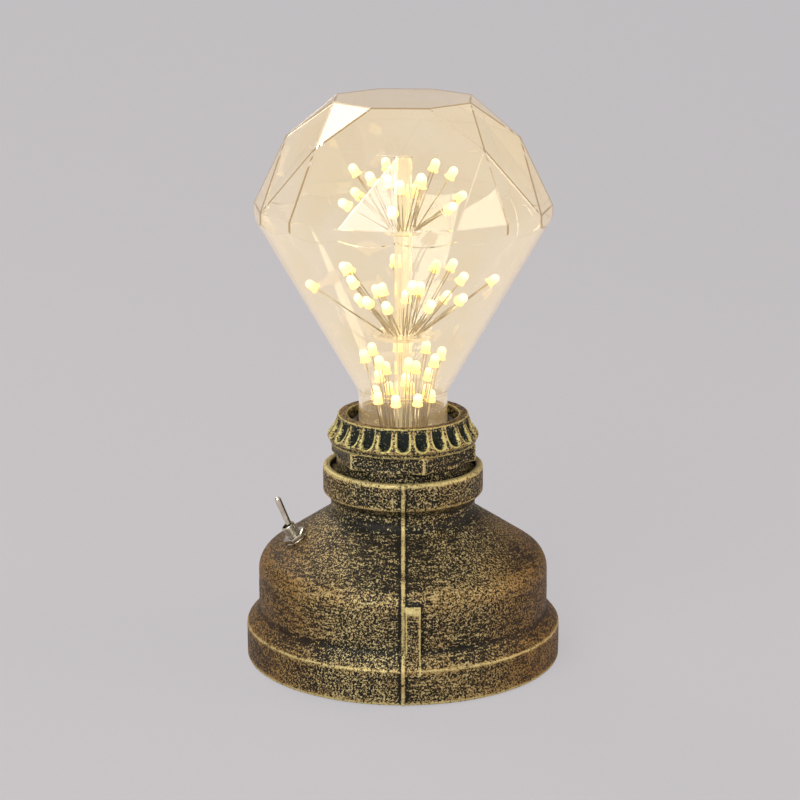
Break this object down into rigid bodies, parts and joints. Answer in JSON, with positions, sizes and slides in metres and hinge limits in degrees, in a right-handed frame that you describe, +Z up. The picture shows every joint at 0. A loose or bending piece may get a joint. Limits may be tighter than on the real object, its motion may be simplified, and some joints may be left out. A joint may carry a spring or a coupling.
{
  "type": "table lamp",
  "caption": "Industrial table lamp: a cast pipe-reducer foot with a toggle switch, a hex bushing, a fluted ring and a large faceted diamond-shaped LED bulb.",
  "frame": {"origin": "on the table under the lamp's axis, at the height of the rubber feet's soles", "axes": "+Z up along the lamp's axis; the parting line that faces the viewer is on -Y; the toggle switch is on the -X side"},
  "size_m": [0.1356, 0.1374, 0.2418],
  "materials": {
    "antique_casting": "dark antique bronze, gold rubbed on the edges",
    "antique_bushing": "dark antique bronze, gold rubbed on the edges",
    "antique_ring": "dark antique bronze, gold rubbed on the edges",
    "zinc_steel": "zinc plated",
    "black_rubber": "matt",
    "phenolic": "satin",
    "brass": "satin",
    "nickel_brass": "nickel plated",
    "cap_metal": "satin",
    "black_insulator": "gloss",
    "solder": "satin",
    "amber_glass": "polished",
    "clear_glass": "polished",
    "circuit_board": "matt",
    "components": "matt",
    "lamp_disc": "satin",
    "lead_wire": "satin",
    "warm_lamp": "gloss, glowing",
    "nickel": "bright nickel",
    "switch_case": "satin",
    "nylon_block": "satin",
    "brown_wire": "satin",
    "black_wire": "satin",
    "blue_wire": "satin"
  },
  "bodies": {
    "foot": {"base_casting": "antique_casting", "block_contacts": "brass", "bottom_plate": "zinc_steel", "centre_leaf": "brass", "cord_grommet": "black_rubber", "fluted_ring": "antique_ring", "hex_bushing": "antique_bushing", "holder_screws": "zinc_steel", "lampholder_base": "phenolic", "lampholder_body": "phenolic", "live_terminal": "brass", "live_wire": "brown_wire", "neutral_terminal": "brass", "neutral_wire": "blue_wire", "plate_screws": "zinc_steel", "rubber_feet": "black_rubber", "screw_shell": "nickel_brass", "switch_bushing": "nickel", "switch_case": "switch_case", "switch_nut": "nickel", "switch_terminals": "brass", "switch_washer": "nickel", "switched_wire": "black_wire", "terminal_block": "nylon_block", "terminal_screws": "zinc_steel"},
    "bulb_contact": {"cap_contact": "solder"},
    "bulb": {"bulb_glass": "amber_glass", "bulb_cap": "cap_metal", "cap_insulator": "black_insulator", "driver_board": "circuit_board", "driver_components": "components", "stem_tube": "clear_glass", "low_disc": "lamp_disc", "mid_disc": "lamp_disc", "top_disc": "lamp_disc", "low_leads": "lead_wire", "mid_leads": "lead_wire", "top_leads": "lead_wire", "low_lamps": "warm_lamp", "mid_lamps": "warm_lamp", "top_lamps": "warm_lamp"},
    "switch_lever": {"switch_lever": "nickel"},
    "switch_rocker": {"switch_rocker": "brass"}
  },
  "joints": [
    {"name": "bulb_rise", "type": "slide", "parent": "foot", "child": "bulb_contact", "axis": [0, 0, 1], "range_m": [0, 0.0128]},
    {"name": "bulb_turn", "type": "hinge", "parent": "bulb_contact", "child": "bulb", "pos_m": [0, 0, 0.06682], "axis": [0, 0, 1], "range_deg": [0, 1260]},
    {"name": "lever_throw", "type": "hinge", "parent": "foot", "child": "switch_lever", "pos_m": [-0.04704, -0.01173, 0.05769], "axis": [0.2419, -0.9703, 0], "range_deg": [0, 22]},
    {"name": "rocker_tilt", "type": "hinge", "parent": "foot", "child": "switch_rocker", "pos_m": [-0.04099, -0.01022, 0.04827], "axis": [0.2419, -0.9703, 0], "range_deg": [-22, 0]}
  ],
  "couplings": [
    {"joint": "bulb_rise", "follows": "bulb_turn", "m_per_rad": 0.00057757},
    {"joint": "rocker_tilt", "follows": "lever_throw", "ratio": -1}
  ]
}
